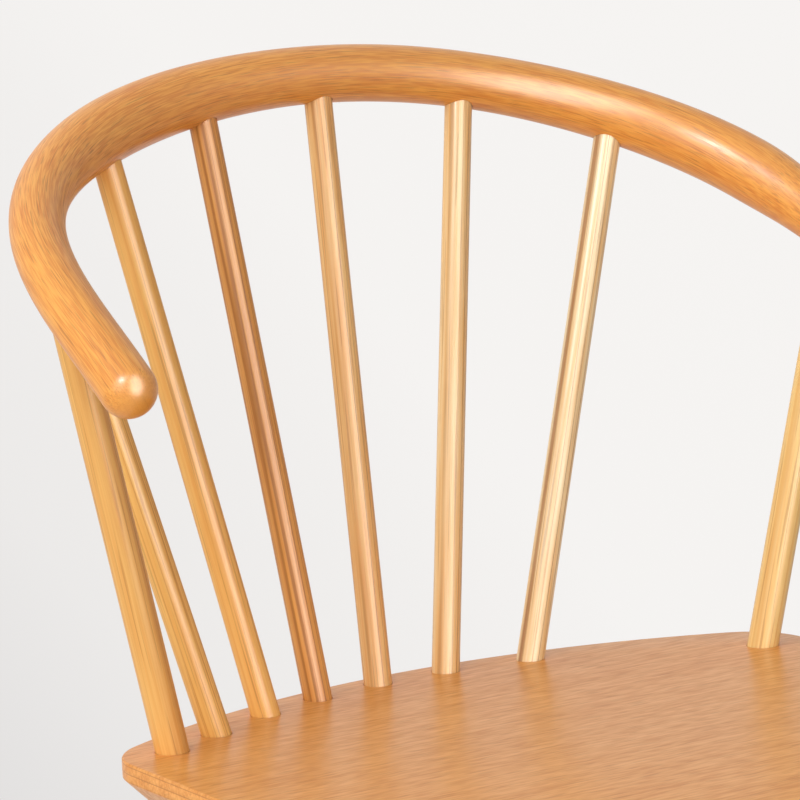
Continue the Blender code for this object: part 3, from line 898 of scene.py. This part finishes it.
class BuildSeat(Operator):
    """Make the seat: one board with a bowed rear edge and a chamfered underside"""

    bl_idname = "armchair.build_seat"
    bl_label = "Seat"

    def execute(self, context):
        scene = context.scene
        legs, fine, finish = scene.chair_legs, scene.chair_fineness, scene.chair_finish
        piece = new_piece("oak_seat", seat_mesh(scene.chair_seat, fine.arc_steps))
        holes = upright_holes(scene)
        for side, front in LEGS.values():
            socket, floor = leg_line(side, front, scene)
            way = (socket - floor).normalized()
            top = socket + way * (legs.socket_depth / way.z + fine.end_gap)
            holes.append((socket - way * HOLE_START, top, legs.top_radius + fine.clearance))
        drill(piece, holes, fine.hole_sides)
        wood = oak("seat_oak", finish, finish.seat_light, finish.seat_dark, finish.streak, SEAT_FIGURE)
        placing = Euler((0, radians(90), 0)).to_matrix().to_4x4()
        finish_piece(piece, "seat", wood, straight_grain(placing, SEAT_PLACE))
        return {"FINISHED"}


class BuildBow(Operator):
    """Make the bow: the back rail and both arms, bent from one bar"""

    bl_idname = "armchair.build_bow"
    bl_label = "Bow"

    def execute(self, context):
        scene = context.scene
        seat, bow = scene.chair_seat, scene.chair_bow
        fine, finish = scene.chair_fineness, scene.chair_finish
        piece = new_piece("oak_bow", bow_mesh(seat, bow, fine))
        drill(piece, upright_holes(scene), fine.hole_sides)
        wood = oak("bow_oak", finish, finish.bow_light, finish.bow_dark, finish.streak, BOW_FIGURE)
        finish_piece(piece, "arm_bow", wood, bow_grain(seat, bow, BOW_PLACE))
        return {"FINISHED"}


class BuildSpindles(Operator):
    """Make the arm posts and the back spindles"""

    bl_idname = "armchair.build_spindles"
    bl_label = "Posts and spindles"

    def execute(self, context):
        scene = context.scene
        for number, (node, foot, head, radius) in enumerate(uprights(scene)):
            bottom, top = rod_ends(foot, head, scene.chair_spindles)
            placing = along(bottom, top)
            profile = rod_profile(radius, (top - bottom).length)
            piece = turned("oak_" + node, profile, placing, scene.chair_fineness.rod_sides)
            *tints, rings, ring_width, pith = ROD_WOODS[node]
            tints = [eight_bit(*tint) for tint in tints]
            figure = {"pith": pith, "rings": rings, "ring_width": ring_width}
            wood = oak(node + "_oak", scene.chair_finish, *tints, {**ROD_FIGURE, **figure})
            grain = straight_grain(placing, *ROD_PLACE, number)
            finish_piece(piece, node, wood, grain)
        return {"FINISHED"}


class BuildLegs(Operator):
    """Make the four legs and the glides under them"""

    bl_idname = "armchair.build_legs"
    bl_label = "Legs and glides"

    def execute(self, context):
        scene = context.scene
        legs, fine, finish = scene.chair_legs, scene.chair_fineness, scene.chair_finish
        wood = leg_wood(finish)
        plastic = nylon("glide_nylon", finish.glide)
        for number, (node, (side, front)) in enumerate(LEGS.items()):
            socket, floor = leg_line(side, front, scene)
            way = (socket - floor).normalized()
            top = socket + way * (legs.socket_depth / way.z)
            bottom = floor - way * LEG_SPARE
            placing = along(bottom, top)
            profile = leg_profile((top - bottom).length, legs)
            piece = turned("oak_" + node, profile, placing, fine.rod_sides)
            outward(piece.data, legs.glide_height + fine.clearance)
            middle = leg_centre(side, front, legs.glide_height, scene)
            base = Vector((middle.x, middle.y, 0))
            pin_top = base + Vector((0, 0, legs.glide_height + PIN_HEIGHT + fine.end_gap))
            pin_hole = base, pin_top, PIN_RADIUS + fine.clearance
            side_hole = stretcher_hole("side_stretcher_" + node.split("_")[-1], scene)
            drill(piece, [side_hole, pin_hole], fine.hole_sides)
            grain = straight_grain(placing, *LEG_PLACE, number)
            finish_piece(piece, node, wood, grain)
            self.add_glide(node.replace("leg", "glide"), base, plastic, scene)
        return {"FINISHED"}

    def add_glide(self, node, base, plastic, scene):
        legs = scene.chair_legs
        high, rim = legs.glide_height, legs.glide_radius
        profile = [(PIN_RADIUS, high + PIN_HEIGHT), (PIN_RADIUS, high), (rim - GLIDE_TAPER, high)]
        profile += [(rim - back, rise) for rise, back in quarter(GLIDE_ROUND, ROUND_STEPS)]
        placing = Matrix.Translation(base)
        piece = turned("nylon_" + node, profile, placing, scene.chair_fineness.rod_sides)
        grain = straight_grain(placing, (0, 0, 0))
        finish_piece(piece, node, plastic, grain)


def leg_wood(finish):
    found = bpy.data.materials.get("leg_oak")
    if found:
        return found
    return oak("leg_oak", finish, finish.bow_light, finish.bow_dark, finish.streak, LEG_FIGURE)


class BuildStretchers(Operator):
    """Make the two side stretchers and the cross stretcher between them"""

    bl_idname = "armchair.build_stretchers"
    bl_label = "Stretchers"

    def execute(self, context):
        scene = context.scene
        legs, fine = scene.chair_legs, scene.chair_fineness
        for number, node in enumerate(STRETCHERS):
            low, high = stretcher_ends(node, scene)
            cross = node == "cross_stretcher"
            radius = legs.cross_tenon if cross else legs.side_tenon
            tenon = CROSS_TENON if cross else SIDE_TENON
            size = (high - low).length
            middle = (legs.stretcher_belly, size / 2)
            small, ease = radius * (1 - ROD_EASE), radius * ROD_EASE
            profile = [(small, size), (radius, size - ease), (radius, size - tenon)]
            profile += swell((radius, size - tenon), middle, STRETCHER_STEPS)
            profile += swell(middle, (radius, tenon), STRETCHER_STEPS)
            profile += [(radius, ease), (small, 0)]
            placing = along(low, high)
            piece = turned("oak_" + node, profile, placing, fine.rod_sides)
            if not cross:
                drill(piece, [stretcher_hole("cross_stretcher", scene)], fine.hole_sides)
            grain = straight_grain(placing, *STRETCHER_PLACE, number)
            finish_piece(piece, node, leg_wood(scene.chair_finish), grain)
        return {"FINISHED"}


class BuildStudio(Operator):
    """Make the floor, the light and the camera"""

    bl_idname = "armchair.build_studio"
    bl_label = "Studio"

    def execute(self, context):
        scene, studio = context.scene, context.scene.chair_studio
        self.add_camera(scene, studio)
        self.add_world(scene, studio)
        self.add_floor(studio)
        for lamp in LAMPS:
            self.add_lamp(scene, studio, *lamp)
        scene.view_settings.view_transform = "Standard"
        return {"FINISHED"}

    def add_camera(self, scene, studio):
        data = bpy.data.cameras.new("camera")
        data.lens = studio.lens
        data.sensor_width = 36
        data.clip_end = 100
        camera = bpy.data.objects.new("camera", data)
        heading = Matrix.Rotation(-studio.turn, 4, "Z")
        pitch = Matrix.Rotation(radians(90) - studio.tilt, 4, "X")
        roll = Matrix.Rotation(-studio.roll, 4, "Z")
        camera.matrix_world = Matrix.Translation(studio.place) @ (heading @ pitch) @ roll
        scene.collection.objects.link(camera)
        scene.camera = camera

    def add_lamp(self, scene, studio, name, place, size, in_lacquer_only):
        data = bpy.data.lights.new(name, "AREA")
        data.shape = "ELLIPSE"
        data.size, data.size_y = size
        data.energy = getattr(studio, name)
        lamp = bpy.data.objects.new(name, data)
        turn = (LAMP_TARGET - Vector(place)).to_track_quat("-Z", "Y").to_matrix().to_4x4()
        lamp.matrix_world = Matrix.Translation(place) @ turn
        lamp.visible_camera = False
        lamp.visible_diffuse = not in_lacquer_only
        scene.collection.objects.link(lamp)

    def add_world(self, scene, studio):
        world = bpy.data.worlds.new("studio")
        world.use_nodes = True
        scene.world = world
        nodes = Shading(world.node_tree)
        way = nodes.add("TexCoord", {}, {}, "Generated")
        light = tuple(part * studio.fill for part in linear(studio.warmth)[:3])
        for name, direction, start, full in LOBES:
            near = nodes.step(nodes.vector("DOT_PRODUCT", way, direction), start, full)
            level = [getattr(studio, name)] * 3
            light = nodes.vector("MULTIPLY_ADD", near, level, light, output="Vector")
        colours = light, backdrop(nodes, way, studio)
        lit, shown = (nodes.add("Background", {}, {"Color": tint}) for tint in colours)
        both = nodes.mix_shaders(seen_directly(nodes), lit, shown)
        nodes.add("OutputWorld", {}, {"Surface": both})

    def add_floor(self, studio):
        bm = bmesh.new()
        bmesh.ops.create_circle(bm, cap_ends=True, segments=128, radius=FLOOR_RADIUS)
        mesh = new_mesh("floor", bm)
        floor = new_piece("floor", mesh)
        made, nodes = new_material("floor_paper")
        place = nodes.add("TexCoord", {}, {}, "Object")
        fade = nodes.step(nodes.vector("LENGTH", place), *FLOOR_FADE)
        paper = nodes.add("BsdfDiffuse", {}, {"Color": linear(studio.floor)})
        glow = nodes.add("Emission", {}, {"Color": linear(studio.pale)})
        shown = nodes.mix_shaders(seen_directly(nodes) * FLOOR_GLOW, paper, glow)
        under = nodes.add("NewGeometry", {}, {}, "Backfacing")
        gone = fade.math("MAXIMUM", fade, under)
        clear = nodes.add("BsdfTransparent")
        nodes.show(nodes.mix_shaders(gone, shown, clear))
        mesh.materials.append(made)


def seen_directly(nodes):
    """1 where a ray comes from the camera, a reflection or clear material."""
    rays = ("Is Camera Ray", "Is Glossy Ray", "Is Transmission Ray")
    first, second, third = (nodes.add("LightPath", {}, {}, ray) for ray in rays)
    return first.math("MAXIMUM", first.math("MAXIMUM", first, second), third)


def backdrop(nodes, way, studio):
    """The background's colour, a little darker to one side and below."""
    lean = nodes.vector("DOT_PRODUCT", way, LEAN)
    sockets = {"Value": lean, "From Min": -LEAN_REACH, "From Max": LEAN_REACH}
    part = nodes.add("MapRange", {}, sockets)
    ramp = nodes.add("ValToRGB", {}, {"Fac": part}, "Color")
    stops = ramp.socket.node.color_ramp.elements
    for place, _ in LEAN_STOPS[1:-1]:
        stops.new(place)
    for stop, (_, level) in zip(stops, LEAN_STOPS):
        stop.color = linear(blend(studio.shade, studio.pale, level))
    return ramp


class ArmchairPanel(Panel):
    """Lists the pieces of the chair"""

    bl_idname = "VIEW3D_PT_armchair"
    bl_label = "Armchair"
    bl_space_type = "VIEW_3D"
    bl_region_type = "UI"
    bl_category = "Armchair"

    def draw(self, context):
        for operator in OPERATORS:
            self.layout.operator(operator.bl_idname)
        for name in GROUPS:
            box = self.layout.box()
            group = getattr(context.scene, name)
            for field in group.bl_rna.properties:
                if field.identifier not in ("rna_type", "name"):
                    box.prop(group, field.identifier)


GROUPS = {
    "chair_seat": SeatSizes,
    "chair_bow": BowSizes,
    "chair_spindles": SpindleSizes,
    "chair_legs": LegSizes,
    "chair_fineness": Fineness,
    "chair_finish": Finish,
    "chair_studio": Studio,
}
OPERATORS = (BuildSeat, BuildBow, BuildSpindles, BuildLegs, BuildStretchers, BuildStudio)


def register():
    for name, group in GROUPS.items():
        bpy.utils.register_class(group)
        setattr(bpy.types.Scene, name, PointerProperty(type=group))
    for operator in OPERATORS:
        bpy.utils.register_class(operator)
    bpy.utils.register_class(ArmchairPanel)


def unregister():
    bpy.utils.unregister_class(ArmchairPanel)
    for operator in reversed(OPERATORS):
        bpy.utils.unregister_class(operator)
    for name, group in reversed(GROUPS.items()):
        delattr(bpy.types.Scene, name)
        bpy.utils.unregister_class(group)


def main():
    register()
    bpy.ops.armchair.build_seat()
    bpy.ops.armchair.build_bow()
    bpy.ops.armchair.build_spindles()
    bpy.ops.armchair.build_legs()
    bpy.ops.armchair.build_stretchers()
    bpy.ops.armchair.build_studio()


if __name__ == "__main__":
    main()
